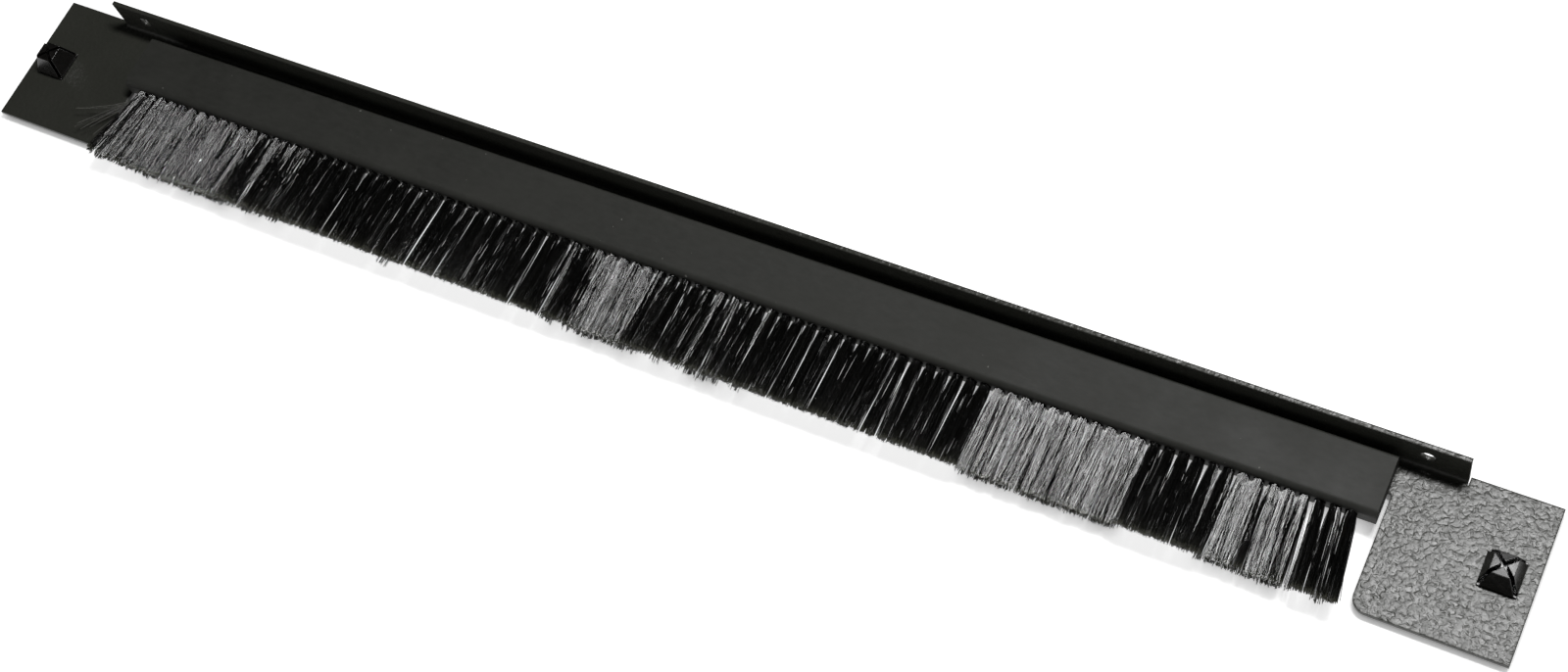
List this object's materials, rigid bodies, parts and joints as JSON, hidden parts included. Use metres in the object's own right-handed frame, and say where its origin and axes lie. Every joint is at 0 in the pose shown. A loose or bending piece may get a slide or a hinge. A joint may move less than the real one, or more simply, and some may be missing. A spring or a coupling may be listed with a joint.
{
  "type": "rack brush strip panel",
  "caption": "One-unit 19-inch rack panel with a folded rear flange and a bristle strip hanging into an open notch, held to the rack by push-in plugs.",
  "frame": {"origin": "under the middle of the whole part, on the surface its two plug caps rest on", "axes": "+X along the panel's length, +Y from the brush towards the flange, +Z out of the panel's rear face"},
  "size_m": [0.4826, 0.0482, 0.0148],
  "materials": {
    "powder_coat": "fine orange-peel textured black powder coat, satin",
    "holder_plastic": "satin black extruded plastic, lightly scuffed",
    "tape": "black foam adhesive tape",
    "bristle": "glossy black nylon filament",
    "anchor_wire": "plain flat steel wire",
    "plug_plastic": "glossy black moulded nylon"
  },
  "bodies": {
    "root": {"panel": "powder_coat", "adhesive_tape": "tape", "brush_holder": "holder_plastic", "tuft_anchors": "anchor_wire", "tufts_01": "bristle", "tufts_02": "bristle", "tufts_03": "bristle", "tufts_04": "bristle", "tufts_05": "bristle", "tufts_06": "bristle", "tufts_07": "bristle", "tufts_08": "bristle", "tufts_09": "bristle", "tufts_10": "bristle", "tufts_11": "bristle", "tufts_12": "bristle", "tufts_13": "bristle", "tufts_14": "bristle", "left_plug": "plug_plastic", "right_plug": "plug_plastic", "left_drive_pin": "plug_plastic", "right_drive_pin": "plug_plastic"}
  },
  "joints": []
}
